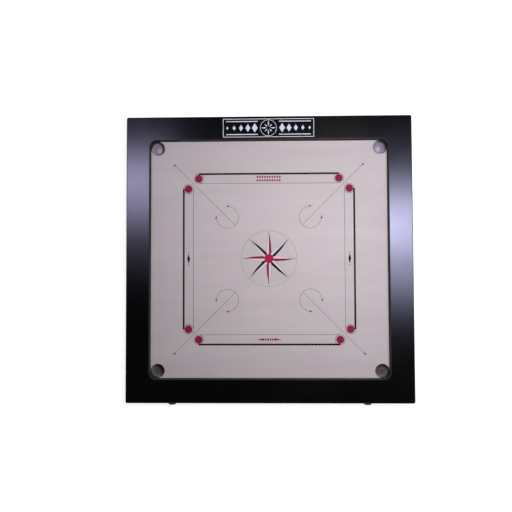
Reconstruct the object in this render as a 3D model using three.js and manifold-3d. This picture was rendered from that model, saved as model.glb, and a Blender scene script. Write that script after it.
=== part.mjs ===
// Carrom board: a mitred hardwood frame round a plywood playing surface, with a netted
// pocket in each corner and a half-lapped cradle of battens underneath.
// Millimetres, +Z up. The board lies flat with its playing surface facing +Z; the origin
// is at the centre of the frame, on its underside.

import * as THREE from "three";
import { mergeVertices } from "three/addons/utils/BufferGeometryUtils.js";
import Module from "manifold-3d";

const wasm = await Module();
wasm.setup();

const INCH = 25.4;
const SIDES = 4;

// Frame
const PLAY_SIDE = 30 * INCH;
const RAIL_WIDTH = 3 * INCH;
const RAIL_HEIGHT = 2 * INCH;
const RIM_HEIGHT = 20;
const REBATE_WIDTH = 12;
const OUTER_CORNER_RADIUS = 6;
const EDGE_ROUND = 3;
const FIT_GAP = 0.3;

// Playing panel and pockets
const PANEL_THICKNESS = 12;
const POCKET_RADIUS = 22.2;

// Mitre splines
const SPLINE_LENGTH = 36;
const SPLINE_WIDTH = 32;
const SPLINE_THICKNESS = 4;

// Cradle
const BATTEN_WIDTH = 45;
const BATTEN_OFFSET = 150;
const BATTEN_SEAT = 30;

// Pocket net
const NET_WALL = 1.8;
const NET_RIM_OUTER = 33;
const NET_RIM_THICKNESS = 2;
const NET_NECK_RADIUS = 25.2;
const NET_NECK_LENGTH = 2.5;
const NET_SHOULDER_SPREAD = 3.2;
const NET_SHOULDER_DROP = 2.5;
const NET_BELLY_RADIUS = 31.5;
const NET_BELLY_HEIGHT_SHARE = 0.4;
const NET_HIP_INSET = 2;
const NET_HIP_RISE = 2.4;
const NET_BOTTOM_RADIUS = 24;
const NET_FLOOR_CLEARANCE = 1.2;

// Edge feet
const FOOT_RADIUS = 12.2;
const FOOT_HEIGHT = 8;
const FOOT_ROUND = 2;
const FOOT_ROUND_SHARE = 0.3;
const FOOT_RECESS_RADIUS = 5;
const FOOT_RECESS_DEPTH = 3.4;
const FOOT_OFFSET = 312;

// Fasteners
const FRAME_SCREW = { headRadius: 4, headHeight: 2.6, shankRadius: 2, length: 36, tip: 6 };
const LAP_SCREW = { headRadius: 3.5, headHeight: 2.3, shankRadius: 1.75, length: 16, tip: 4 };
const PANEL_SCREW = { headRadius: 3.2, headHeight: 2, shankRadius: 1.6, length: 25, tip: 4 };
const FOOT_SCREW = { headRadius: 4, headHeight: 2.6, shankRadius: 2, length: 22, tip: 5 };
const NET_TACK = { headRadius: 3, headHeight: 0.9, shankRadius: 0.8, length: 11, tip: 3 };
const DRIVE_SLOT_REACH_SHARE = 1.2;
const DRIVE_SLOT_WIDTH = 1;
const DRIVE_SLOT_DEPTH = 1.4;
const PANEL_SCREW_SPREAD = 262;
const TACK_CIRCLE_RADIUS = 29.6;
const TACK_ANGLES = [0, 105, -105];

// Facets
const CORNER_SEGMENTS = 5;
const POCKET_SEGMENTS = 40;
const NET_SEGMENTS = 24;
const FASTENER_SEGMENTS = 10;
const FOOT_SEGMENTS = 24;

// Derived sizes
const HALF_PLAY = PLAY_SIDE / 2;
const HALF_OUTER = HALF_PLAY + RAIL_WIDTH;
const HALF_REBATE = HALF_PLAY + REBATE_WIDTH;
const SURFACE_Z = RAIL_HEIGHT - RIM_HEIGHT;
const PANEL_UNDERSIDE_Z = SURFACE_Z - PANEL_THICKNESS;
const POCKET_CENTRE = HALF_PLAY - POCKET_RADIUS;
const BATTEN_HEIGHT = PANEL_UNDERSIDE_Z;
const BATTEN_REACH = HALF_REBATE + BATTEN_SEAT;
const SPLINE_CENTRE = HALF_REBATE + (HALF_OUTER - HALF_REBATE) / 2;
const OVERSHOOT = 5;

const LACQUERED_WOOD = { color: 0x0d0c0f, roughness: 0.25, metalness: 0 };
const PLYWOOD = { color: 0xc9b9b8, roughness: 0.4, metalness: 0 };
const RAW_WOOD = { color: 0xb08a5e, roughness: 0.75, metalness: 0 };
const BEECH = { color: 0xc49a6c, roughness: 0.7, metalness: 0 };
const STEEL = { color: 0x9a9a9c, roughness: 0.35, metalness: 1 };
const BRASS = { color: 0xa98b4b, roughness: 0.4, metalness: 1 };
const RUBBER = { color: 0x0a0a0a, roughness: 0.9, metalness: 0 };
const COTTON = { color: 0x8f8f98, roughness: 0.95, metalness: 0 };

// Solids and booleans

function toSolid(geometry) {
  const bare = geometry.clone();
  bare.deleteAttribute("normal");
  bare.deleteAttribute("uv");
  const merged = mergeVertices(bare);
  const index = merged.index.array;
  const triangles = [];
  for (let i = 0; i < index.length; i += 3) {
    const [a, b, c] = [index[i], index[i + 1], index[i + 2]];
    if (a !== b && b !== c && c !== a) {
      triangles.push(a, b, c);
    }
  }
  return new wasm.Manifold(new wasm.Mesh({
    numProp: 3,
    vertProperties: Float32Array.from(merged.attributes.position.array),
    triVerts: Uint32Array.from(triangles),
  }));
}

function toGeometry(solid) {
  const mesh = solid.getMesh();
  const geometry = new THREE.BufferGeometry();
  geometry.setAttribute("position", new THREE.BufferAttribute(mesh.vertProperties, 3));
  geometry.setIndex(new THREE.BufferAttribute(mesh.triVerts, 1));
  geometry.computeVertexNormals();
  return geometry;
}

function cut(body, tools) {
  return tools.reduce((remaining, tool) => remaining.subtract(tool), body);
}

function box(sizeX, sizeY, sizeZ, x, y, lowZ) {
  const geometry = new THREE.BoxGeometry(sizeX, sizeY, sizeZ);
  return toSolid(geometry.translate(x, y, lowZ + sizeZ / 2));
}

// A solid of revolution about +Z; the profile lists [radius, height] from the low end of
// the axis round the outside to the high end.
function turned(profile, segments) {
  const points = profile.map(([radius, height]) => new THREE.Vector2(radius, height));
  return new THREE.LatheGeometry(points, segments).rotateX(Math.PI / 2);
}

function roundedSquare(half, radius, Kind) {
  const outline = new Kind();
  const straight = half - radius;
  outline.absarc(straight, straight, radius, 0, Math.PI / 2);
  outline.absarc(-straight, straight, radius, Math.PI / 2, Math.PI);
  outline.absarc(-straight, -straight, radius, Math.PI, Math.PI * 1.5);
  outline.absarc(straight, -straight, radius, Math.PI * 1.5, Math.PI * 2);
  outline.closePath();
  return outline;
}

// Fasteners: the head's face lies at z = 0 and the shank points up +Z.

function screwGeometry(size) {
  const shape = toSolid(turned([
    [0, 0],
    [size.headRadius, 0],
    [size.shankRadius, size.headHeight],
    [size.shankRadius, size.length - size.tip],
    [0, size.length],
  ], FASTENER_SEGMENTS));
  const slotLength = size.headRadius * DRIVE_SLOT_REACH_SHARE;
  const slotHeight = DRIVE_SLOT_DEPTH + OVERSHOOT;
  const slots = [
    box(slotLength, DRIVE_SLOT_WIDTH, slotHeight, 0, 0, -OVERSHOOT),
    box(DRIVE_SLOT_WIDTH, slotLength, slotHeight, 0, 0, -OVERSHOOT),
  ];
  return toGeometry(cut(shape, slots));
}

function screwHole(size, x, y, z) {
  const headRadius = size.headRadius + FIT_GAP;
  const shankRadius = size.shankRadius + FIT_GAP;
  const geometry = turned([
    [0, -OVERSHOOT],
    [headRadius, -OVERSHOOT],
    [headRadius, 0],
    [shankRadius, size.headHeight + FIT_GAP],
    [shankRadius, size.length + FIT_GAP],
    [0, size.length + FIT_GAP],
  ], FASTENER_SEGMENTS);
  return toSolid(geometry.translate(x, y, z));
}

function tackGeometry() {
  return turned([
    [0, 0],
    [NET_TACK.headRadius, 0],
    [NET_TACK.headRadius, NET_TACK.headHeight],
    [NET_TACK.shankRadius, NET_TACK.headHeight],
    [NET_TACK.shankRadius, NET_TACK.length - NET_TACK.tip],
    [0, NET_TACK.length],
  ], FASTENER_SEGMENTS);
}

function tackHole(x, y) {
  const radius = NET_TACK.shankRadius + FIT_GAP;
  const height = NET_TACK.length + 2 * FIT_GAP;
  const geometry = new THREE.CylinderGeometry(radius, radius, height, FASTENER_SEGMENTS);
  geometry.rotateX(Math.PI / 2);
  return toSolid(geometry.translate(x, y, tackHeadZ() + height / 2));
}

function tackHeadZ() {
  return PANEL_UNDERSIDE_Z - NET_RIM_THICKNESS - NET_TACK.headHeight - FIT_GAP;
}

// Layout

function pocketCentres() {
  const centres = [];
  for (const [sideY, yName] of [[-1, "front"], [1, "back"]]) {
    for (const [sideX, xName] of [[-1, "left"], [1, "right"]]) {
      centres.push({
        name: `${yName}_${xName}`,
        x: sideX * POCKET_CENTRE,
        y: sideY * POCKET_CENTRE,
        inward: Math.atan2(-sideY, -sideX),
      });
    }
  }
  return centres;
}

// Tack places round a pocket, as offsets from its centre.
function tackOffsets(pocket) {
  return TACK_ANGLES.map((degrees) => {
    const angle = pocket.inward + THREE.MathUtils.degToRad(degrees);
    return [TACK_CIRCLE_RADIUS * Math.cos(angle), TACK_CIRCLE_RADIUS * Math.sin(angle)];
  });
}

// Screws along the panel's edge, on the front side; the other sides are turned copies.
function panelScrewPlaces() {
  const edgeLine = -(HALF_PLAY + REBATE_WIDTH / 2);
  return [-PANEL_SCREW_SPREAD, 0, PANEL_SCREW_SPREAD].map((x) => [x, edgeLine]);
}

function turnedPlace([x, y], quarterTurns) {
  const place = new THREE.Vector2(x, y);
  place.rotateAround(new THREE.Vector2(), quarterTurns * Math.PI / 2);
  return [place.x, place.y];
}

// Frame

function frameRing() {
  const outline = roundedSquare(HALF_OUTER, OUTER_CORNER_RADIUS, THREE.Shape);
  outline.holes.push(roundedSquare(HALF_PLAY, POCKET_RADIUS, THREE.Path));
  const geometry = new THREE.ExtrudeGeometry(outline, {
    depth: RAIL_HEIGHT - 2 * EDGE_ROUND,
    bevelEnabled: true,
    bevelThickness: EDGE_ROUND,
    bevelSize: EDGE_ROUND,
    bevelOffset: -EDGE_ROUND,
    bevelSegments: 3,
    curveSegments: CORNER_SEGMENTS,
  });
  const ring = toSolid(geometry.translate(0, 0, EDGE_ROUND));
  const rebateSide = 2 * HALF_REBATE;
  return ring.subtract(box(rebateSide, rebateSide, SURFACE_Z + OVERSHOOT, 0, 0, -OVERSHOOT));
}

// The part of the frame in front of both mitre planes.
function mitreWedge() {
  const reach = HALF_OUTER + OVERSHOOT;
  const setBack = FIT_GAP / 2 * Math.SQRT2;
  const outline = new THREE.Shape();
  outline.moveTo(0, -setBack);
  outline.lineTo(-reach, -reach - setBack);
  outline.lineTo(reach, -reach - setBack);
  outline.closePath();
  const depth = RAIL_HEIGHT + 2 * OVERSHOOT;
  const geometry = new THREE.ExtrudeGeometry(outline, { depth, bevelEnabled: false });
  return toSolid(geometry.translate(0, 0, -OVERSHOOT));
}

function splineBlock(gap, x, y, angle) {
  const geometry = new THREE.BoxGeometry(
    SPLINE_LENGTH + 2 * gap,
    SPLINE_WIDTH + 2 * gap,
    SPLINE_THICKNESS + 2 * gap,
  );
  geometry.rotateZ(angle);
  return geometry.translate(x, y, RAIL_HEIGHT / 2);
}

function battenSeat(x) {
  const width = BATTEN_WIDTH + 2 * FIT_GAP;
  const centreY = -(HALF_REBATE + BATTEN_SEAT / 2);
  return box(width, BATTEN_SEAT, BATTEN_HEIGHT + OVERSHOOT, x, centreY, -OVERSHOOT);
}

function footScrewHole(x) {
  const radius = FOOT_SCREW.shankRadius + FIT_GAP;
  const depth = FOOT_SCREW.length;
  const geometry = new THREE.CylinderGeometry(radius, radius, depth, FASTENER_SEGMENTS);
  return toSolid(geometry.translate(x, -HALF_OUTER + depth / 2 - OVERSHOOT, RAIL_HEIGHT / 2));
}

function railSolid() {
  const seats = [-BATTEN_OFFSET, BATTEN_OFFSET].map(battenSeat);
  const splineSlots = [-1, 1].map((side) => toSolid(splineBlock(
    FIT_GAP,
    side * SPLINE_CENTRE,
    -SPLINE_CENTRE,
    -side * Math.PI / 4,
  )));
  const battenHoles = [-BATTEN_OFFSET, BATTEN_OFFSET].map((x) => (
    screwHole(FRAME_SCREW, x, -(HALF_REBATE + BATTEN_SEAT / 2), 0)
  ));
  const panelHoles = panelScrewPlaces().map(([x, y]) => (
    screwHole(PANEL_SCREW, x, y, PANEL_UNDERSIDE_Z)
  ));
  const rail = frameRing().intersect(mitreWedge());
  return cut(rail, [...seats, ...splineSlots, ...battenHoles, ...panelHoles]);
}

function addRails(board) {
  const rail = railSolid();
  const plain = toGeometry(rail);
  const withFeet = toGeometry(cut(rail, [-FOOT_OFFSET, FOOT_OFFSET].map(footScrewHole)));
  ["front", "right", "back", "left"].forEach((name, quarterTurns) => {
    const geometry = name === "front" ? withFeet : plain;
    const mesh = addPiece(board, `rail_${name}`, geometry, LACQUERED_WOOD);
    mesh.rotation.z = quarterTurns * Math.PI / 2;
  });
}

function addSplines(board) {
  for (const pocket of pocketCentres()) {
    const x = Math.sign(pocket.x) * SPLINE_CENTRE;
    const y = Math.sign(pocket.y) * SPLINE_CENTRE;
    const spline = splineBlock(0, x, y, pocket.inward);
    addPiece(board, `mitre_spline_${pocket.name}`, spline, BEECH);
  }
}

// Playing panel

function panelGeometry() {
  const side = 2 * (HALF_REBATE - FIT_GAP);
  const panel = box(side, side, PANEL_THICKNESS, 0, 0, PANEL_UNDERSIDE_Z);
  const tools = [];
  for (const pocket of pocketCentres()) {
    const height = PANEL_THICKNESS + 2 * OVERSHOOT;
    const hole = new THREE.CylinderGeometry(POCKET_RADIUS, POCKET_RADIUS, height, POCKET_SEGMENTS);
    hole.rotateX(Math.PI / 2);
    const middleZ = (SURFACE_Z + PANEL_UNDERSIDE_Z) / 2;
    tools.push(toSolid(hole.translate(pocket.x, pocket.y, middleZ)));
    for (const [dx, dy] of tackOffsets(pocket)) {
      tools.push(tackHole(pocket.x + dx, pocket.y + dy));
    }
  }
  for (let side = 0; side < SIDES; side += 1) {
    for (const place of panelScrewPlaces()) {
      const [x, y] = turnedPlace(place, side);
      tools.push(screwHole(PANEL_SCREW, x, y, PANEL_UNDERSIDE_Z));
    }
  }
  return toGeometry(cut(panel, tools));
}

function addPanel(board) {
  addPiece(board, "play_panel", panelGeometry(), PLYWOOD);
}

// Cradle: two long battens with their laps cut from below, two cross battens with their
// laps cut from above.

function battenSolid(lapLowZ) {
  const length = 2 * (BATTEN_REACH - FIT_GAP);
  const lapWidth = BATTEN_WIDTH + 2 * FIT_GAP;
  const lapDepth = BATTEN_HEIGHT / 2 + FIT_GAP / 2;
  const batten = box(length, BATTEN_WIDTH, BATTEN_HEIGHT, 0, 0, 0);
  const laps = [-BATTEN_OFFSET, BATTEN_OFFSET].map((x) => (
    box(lapWidth, BATTEN_WIDTH + OVERSHOOT, lapDepth, x, 0, lapLowZ)
  ));
  return cut(batten, laps);
}

function addBattens(board) {
  const seatMiddle = HALF_REBATE + BATTEN_SEAT / 2;
  const endHoles = [-seatMiddle, seatMiddle].map((x) => screwHole(FRAME_SCREW, x, 0, 0));
  const lapHoles = [-BATTEN_OFFSET, BATTEN_OFFSET].map((x) => screwHole(LAP_SCREW, x, 0, 0));
  const holes = [...endHoles, ...lapHoles];
  const lapTopCut = BATTEN_HEIGHT / 2 - FIT_GAP / 2;
  const crossBatten = toGeometry(cut(battenSolid(lapTopCut), holes));
  const longBatten = toGeometry(cut(battenSolid(0), holes));
  for (const [side, name] of [[-1, "front"], [1, "back"]]) {
    const mesh = addPiece(board, `cross_batten_${name}`, crossBatten, RAW_WOOD);
    mesh.position.y = side * BATTEN_OFFSET;
  }
  for (const [side, name] of [[-1, "left"], [1, "right"]]) {
    const mesh = addPiece(board, `long_batten_${name}`, longBatten, RAW_WOOD);
    mesh.position.x = side * BATTEN_OFFSET;
    mesh.rotation.z = Math.PI / 2;
  }
}

// Screws

function addScrews(board) {
  const frameScrew = screwGeometry(FRAME_SCREW);
  const lapScrew = screwGeometry(LAP_SCREW);
  const panelScrew = screwGeometry(PANEL_SCREW);
  const seatLine = -(HALF_REBATE + BATTEN_SEAT / 2);
  for (let side = 0; side < SIDES; side += 1) {
    [[-BATTEN_OFFSET, seatLine], [BATTEN_OFFSET, seatLine]].forEach((place, i) => {
      const [x, y] = turnedPlace(place, side);
      const mesh = addPiece(board, `batten_screw_${2 * side + i + 1}`, frameScrew, STEEL);
      mesh.position.set(x, y, 0);
    });
    panelScrewPlaces().forEach((place, i) => {
      const [x, y] = turnedPlace(place, side);
      const mesh = addPiece(board, `panel_screw_${3 * side + i + 1}`, panelScrew, STEEL);
      mesh.position.set(x, y, PANEL_UNDERSIDE_Z);
    });
    const [x, y] = turnedPlace([BATTEN_OFFSET, BATTEN_OFFSET], side);
    const mesh = addPiece(board, `lap_screw_${side + 1}`, lapScrew, STEEL);
    mesh.position.set(x, y, 0);
  }
}

// Pocket nets: a flat rim tacked under the panel and a bag that bellies out below it.

function netGeometry(pocket) {
  const rimLowZ = PANEL_UNDERSIDE_Z - NET_RIM_THICKNESS;
  const neckLowZ = rimLowZ - NET_NECK_LENGTH;
  const shoulderRadius = NET_NECK_RADIUS + NET_SHOULDER_SPREAD;
  const shoulderZ = neckLowZ - NET_SHOULDER_DROP;
  const bellyZ = PANEL_UNDERSIDE_Z * NET_BELLY_HEIGHT_SHARE;
  const hipRadius = NET_BELLY_RADIUS - NET_HIP_INSET;
  const hipZ = NET_FLOOR_CLEARANCE + NET_HIP_RISE;
  const slantWall = NET_WALL / 3;
  const outside = [
    [0, NET_FLOOR_CLEARANCE],
    [NET_BOTTOM_RADIUS, NET_FLOOR_CLEARANCE],
    [hipRadius, hipZ],
    [NET_BELLY_RADIUS, bellyZ],
    [shoulderRadius, shoulderZ],
    [NET_NECK_RADIUS, neckLowZ],
    [NET_NECK_RADIUS, rimLowZ],
    [NET_RIM_OUTER, rimLowZ],
    [NET_RIM_OUTER, PANEL_UNDERSIDE_Z],
  ];
  const inside = [
    [NET_NECK_RADIUS - NET_WALL, PANEL_UNDERSIDE_Z],
    [NET_NECK_RADIUS - NET_WALL, neckLowZ - slantWall],
    [shoulderRadius - NET_WALL, shoulderZ - slantWall],
    [NET_BELLY_RADIUS - NET_WALL, bellyZ],
    [hipRadius - NET_WALL, hipZ + slantWall],
    [NET_BOTTOM_RADIUS - NET_WALL, NET_FLOOR_CLEARANCE + NET_WALL],
    [0, NET_FLOOR_CLEARANCE + NET_WALL],
  ];
  const net = toSolid(turned([...outside, ...inside], NET_SEGMENTS));
  const holes = tackOffsets(pocket).map(([x, y]) => tackHole(x, y));
  return toGeometry(cut(net, holes));
}

function addNets(board) {
  const tack = tackGeometry();
  for (const pocket of pocketCentres()) {
    const net = addPiece(board, `pocket_net_${pocket.name}`, netGeometry(pocket), COTTON);
    net.position.set(pocket.x, pocket.y, 0);
    tackOffsets(pocket).forEach(([dx, dy], i) => {
      const mesh = addPiece(board, `net_tack_${pocket.name}_${i + 1}`, tack, BRASS);
      mesh.position.set(pocket.x + dx, pocket.y + dy, tackHeadZ());
    });
  }
}

// Edge feet: two rubber discs on the front edge, on which the board stands upright.
// Turned about +Z with the free face down, then laid over to face -Y.

function footGeometry() {
  const shankRadius = FOOT_SCREW.shankRadius + FIT_GAP;
  const roundMiddle = FOOT_ROUND * FOOT_ROUND_SHARE;
  return turned([
    [shankRadius, FOOT_RECESS_DEPTH],
    [FOOT_RECESS_RADIUS, FOOT_RECESS_DEPTH],
    [FOOT_RECESS_RADIUS, 0],
    [FOOT_RADIUS - FOOT_ROUND, 0],
    [FOOT_RADIUS - roundMiddle, roundMiddle],
    [FOOT_RADIUS, FOOT_ROUND],
    [FOOT_RADIUS, FOOT_HEIGHT],
    [shankRadius, FOOT_HEIGHT],
    [shankRadius, FOOT_RECESS_DEPTH],
  ], FOOT_SEGMENTS);
}

function addFeet(board) {
  const foot = footGeometry();
  const screw = screwGeometry(FOOT_SCREW);
  const headDepth = FOOT_RECESS_DEPTH - FOOT_SCREW.headHeight - FIT_GAP;
  for (const [side, name] of [[-1, "left"], [1, "right"]]) {
    const group = new THREE.Group();
    group.position.set(side * FOOT_OFFSET, -HALF_OUTER - FOOT_HEIGHT, RAIL_HEIGHT / 2);
    group.rotation.x = -Math.PI / 2;
    addPiece(group, `edge_foot_${name}`, foot, RUBBER);
    const mesh = addPiece(group, `foot_screw_${name}`, screw, STEEL);
    mesh.position.z = headDepth;
    board.add(group);
  }
}

// Assembly

function addPiece(parent, name, geometry, look) {
  const mesh = new THREE.Mesh(geometry, new THREE.MeshStandardMaterial(look));
  mesh.name = name;
  parent.add(mesh);
  return mesh;
}

const board = new THREE.Group();
addRails(board);
addSplines(board);
addPanel(board);
addBattens(board);
addScrews(board);
addNets(board);
addFeet(board);

export default board;
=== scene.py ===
import math

import bmesh
import bpy
from mathutils import Euler, Matrix, Vector


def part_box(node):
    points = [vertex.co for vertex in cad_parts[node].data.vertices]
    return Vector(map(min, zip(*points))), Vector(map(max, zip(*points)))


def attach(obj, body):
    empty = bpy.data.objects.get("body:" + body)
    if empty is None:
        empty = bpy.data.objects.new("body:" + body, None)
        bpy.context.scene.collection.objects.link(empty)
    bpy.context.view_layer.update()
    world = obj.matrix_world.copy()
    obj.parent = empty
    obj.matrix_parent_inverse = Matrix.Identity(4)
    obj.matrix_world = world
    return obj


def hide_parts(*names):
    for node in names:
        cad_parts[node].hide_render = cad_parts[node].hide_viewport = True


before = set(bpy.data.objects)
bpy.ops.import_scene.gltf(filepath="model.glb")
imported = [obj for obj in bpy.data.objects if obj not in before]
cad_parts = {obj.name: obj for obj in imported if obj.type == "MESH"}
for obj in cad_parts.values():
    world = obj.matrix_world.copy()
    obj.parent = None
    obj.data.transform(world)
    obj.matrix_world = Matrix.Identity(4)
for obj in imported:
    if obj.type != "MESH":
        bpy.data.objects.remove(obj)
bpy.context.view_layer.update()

# A carrom board lying flat: lacquered rails, a pale plywood playing surface with printed
# lines, netted corner pockets and a batten cradle underneath. Metres, +Z up.

MM = 0.001

# Camera: almost straight above the board, a little towards the viewer's edge.
CAMERA_HEIGHT = 1.600
CAMERA_OFFSET = (-0.0088, -0.0473)
CAMERA_TILT_DEGREES = (1.97, 1.17, -0.20)
CAMERA_LENS = 35.4
SENSOR_WIDTH = 36.0

# Sizes that the frame's boxes don't hold.
POCKET_RADIUS = 22.2 * MM
POCKET_ROUND = 0.8 * MM
POCKET_ROUND_STEPS = 4
POCKET_STEPS = 96
DRILL_MARGIN = 2.0 * MM
EDGE_ROUND = 3.0 * MM
OUTER_CORNER_RADIUS = 6.0 * MM
MITRE_GAP = 0.04 * MM
FIT_GAP = 0.3 * MM
ROUND_STEPS = 6
CORNER_STEPS = 16

# Printed markings on the playing surface.
BASE_LINE_FROM_RAIL = 106.0 * MM
BASE_CIRCLE_RADIUS = 15.9 * MM
BASE_DISC_RADIUS = 12.7 * MM
BASE_CIRCLE_SPREAD = 226.5 * MM
THICK_LINE = 5.8 * MM
THIN_LINE = 1.0 * MM
RING_LINE = 1.1 * MM
ARROW_TIP = 309.0 * MM
ARROW_TAIL = 108.4 * MM
ARROW_ARC_CENTRE = 133.5 * MM
ARROW_ARC_RADIUS = 35.5 * MM
ARROW_LINE = 0.85 * MM
ARROW_HEAD_LENGTH = 11.0 * MM
ARROW_HEAD_WIDTH = 6.5 * MM
ARROW_NOTCH_SHARE = 0.75
ARROW_OVERLAP_SHARE = 0.8
ARC_HEAD_LEAN = 0.15
STAR_RADIUS = 88.0 * MM
STAR_HEART_RADIUS = 1.0 * MM
STAR_VALLEY_RADIUS = 21.5 * MM
STAR_SHOULDER = (6.4 * MM, 52.0 * MM)
STAR_OUTLINE = 0.5 * MM
STAR_RAYS = 8
CENTRE_DISC_RADIUS = 14.6 * MM
CENTRE_RING_RADIUS = 90.0 * MM
CENTRE_RING_LINE = 0.5 * MM

# Ink films: how far each sinks in, and how far it stands up. Films that cross have
# different heights, so that their top faces never share a plane.
INK_SINK = 0.05 * MM
INK_LOWEST = 0.10 * MM
INK_LOW = 0.12 * MM
INK_MIDDLE = 0.13 * MM
INK_HIGH = 0.14 * MM
INK_HIGHEST = 0.16 * MM

# Ornaments between the base lines.
ORNAMENT_LENGTH = 80.0 * MM
BEAD_HALF_SHARE = 0.44
BACK_BEADS = 10
BACK_BEAD_HEIGHT = 9.0 * MM
BACK_ROW_OFFSET = 5.5 * MM
FRONT_BEADS = 4
FRONT_BEAD_HEIGHT = 11.0 * MM
FRONT_ROW_SHARE = 0.36
FRONT_BAR_HALF_SHARE = 0.36
FRONT_BAR_GAP = 1.0 * MM
SPINDLE_LENGTH = 44.0 * MM
SPINDLE_WIDTH = 9.0 * MM
SPINDLE_TIP = 5.0 * MM
SPINDLE_BEAD_HALF = (1.98 * MM, 2.0 * MM)
SPINDLE_BEAD_INSET = 2.25 * MM

# Ornament on the back rail.
EMBLEM_HALF_SIZE = (146.0 * MM, 30.0 * MM)
EMBLEM_FRAME_LINE = 2.0 * MM
EMBLEM_RING_RADIUS = 26.0 * MM
EMBLEM_RING_LINE = 1.4 * MM
EMBLEM_RAY = 24.0 * MM
EMBLEM_SHORT_RAY = 16.8 * MM
EMBLEM_RAY_START = 4.8 * MM
EMBLEM_RAY_HALF_WIDTH = 2.16 * MM
EMBLEM_LOZENGES = 5
EMBLEM_LOZENGE_HALF = (9.5 * MM, 15.0 * MM)
EMBLEM_LOZENGE_SHRINK = 0.15
EMBLEM_LOZENGE_START = 44.0 * MM
EMBLEM_LOZENGE_PITCH = 22.0 * MM
EMBLEM_BAR_ENDS = (34.0 * MM, 136.0 * MM)
EMBLEM_BAR_OFFSET = 21.0 * MM
EMBLEM_BAR_LINE = 3.0 * MM

# Pocket nets: the bag's profile goes from its neck to its gathered bottom, as (radius,
# height) in millimetres.
NET_PROFILE = (
    (23.9, 17.4), (25.0, 14.0), (29.6, 8.8), (30.2, 5.2), (25.5, 2.6), (15.0, 2.1), (4.5, 2.2),
)
NET_PROFILE_EASE = 0.35
NET_STRANDS = 18
NET_TWIST = math.radians(110)
NET_CORD_RADIUS = 0.65 * MM
NET_STEPS = 22
KNOT_RADIUS = 1.35 * MM
KNOT_FLATNESS = 0.8
WHIPPING_RADIUS = 0.8 * MM
WHIPPING_TURNS = 3.5
WHIPPING_STEPS = 70
WHIPPING_EYE = 0.5 * MM
WHIPPING_RISE = 0.6 * MM
BINDING_INNER_RADIUS = 23.6 * MM
BINDING_HEIGHT = 1.7 * MM
BINDING_EDGE = 0.5 * MM
BINDING_GAP = 0.05 * MM
BINDING_STEPS = 72

# Rubber feet.
FOOT_RIM = 2.0 * MM
FOOT_RIM_STEPS = 5
FOOT_WELL_RADIUS = 5.0 * MM
FOOT_WELL_DEPTH = 3.4 * MM
FOOT_WELL_EDGE = 0.4 * MM
FOOT_HOLE_RADIUS = 2.3 * MM
FOOT_STEPS = 64

# Where looks change: the layers of the ply, and the rail's walls, measured outwards from
# the playing area.
PLY_LAYER = 1.7 * MM
PLY_LAYER_SHIFT = 0.2 * MM
WALL_LOOK_SPAN = (10.0 * MM, 30.0 * MM)

# Studio light: each lamp's radiance, place and colour. A profile gives a window's strength
# along Y as (y, share of its radiance). Its steps were first read from how bright the shine
# is along the side rails of the real board, then adjusted.
LEFT_WINDOW_COLOR = (0.68, 0.64, 1.0)
RIGHT_WINDOW_COLOR = (0.70, 0.71, 1.07)
LEFT_WINDOW_INNER_EDGE = 0.48
RIGHT_WINDOW_INNER_EDGE = 0.64
WINDOW_OUTER_EDGE = 1.04
WINDOW_FULL_FROM = 0.74
LEFT_WINDOW = 10.1
RIGHT_WINDOW = 19.5
CEILING_LAMP = 35.0
CEILING_LAMP_SIZE = 0.70
CEILING_LAMP_PLACE = (0.33, 0.215, 1.35)
CEILING_LAMP_SOFT_SHARE = 0.42
HORIZON = 0.80
ZENITH = 0.02
SKY_FADE = (0.10, 0.55)
SKY_COLOR = (0.97, 0.97, 1.0, 1)
# The floor glows evenly outside the board. Under the board the glow fades out and the colour turns dark
# grey: painted shade that keeps the pockets dark.
FLOOR_GLOW = 0.87
FLOOR_HALF_SIDE = 80.0
FLOOR_PAINTED_SHADE = 0.10
FLOOR_GLOW_SPAN = (-40.0 * MM, 6.0 * MM)
FLOOR_COLOR_SPAN = (-90.0 * MM, -60.0 * MM)
LEFT_PROFILE = (
    (-0.15, 0.0), (0.05, 0.04), (0.21, 0.16), (0.37, 0.55),
    (0.54, 1.0), (0.69, 0.54), (0.83, 0.10), (1.05, 0.05),
)
RIGHT_PROFILE = (
    (-0.45, 0.0), (-0.28, 0.06), (-0.11, 0.29), (0.05, 0.50),
    (0.25, 1.0), (0.45, 0.47), (0.63, 0.08), (0.85, 0.02),
)

# Facts taken from the frame.
HALF_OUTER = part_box("rail_right")[1].x
RAIL_TOP_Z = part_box("rail_front")[1].z
SURFACE_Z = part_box("play_panel")[1].z
PANEL_LOW_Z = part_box("play_panel")[0].z
HALF_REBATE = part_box("play_panel")[1].x + FIT_GAP
POCKET_CENTRE = sum(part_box("pocket_net_front_right"), Vector()).x / 2
HALF_PLAY = POCKET_CENTRE + POCKET_RADIUS

SIDES = ("front", "right", "back", "left")
CORNERS = {
    "front_left": (-1, -1),
    "front_right": (1, -1),
    "back_left": (-1, 1),
    "back_right": (1, 1),
}


# ------------------------ node helpers


def split_vector(tree, vector):
    node = tree.nodes.new("ShaderNodeSeparateXYZ")
    tree.links.new(vector, node.inputs["Vector"])
    return node.outputs


def set_range(node, limits):
    """Limits of a Map Range node: from low, from high, to low, to high."""
    for name, limit in zip(("From Min", "From Max", "To Min", "To Max"), limits):
        node.inputs[name].default_value = limit


def fill_ramp(color_ramp, stops):
    elements = color_ramp.elements
    while len(elements) < len(stops):
        elements.new(0.5)
    for element, (position, color) in zip(elements, stops):
        element.position = position
        element.color = color


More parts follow.
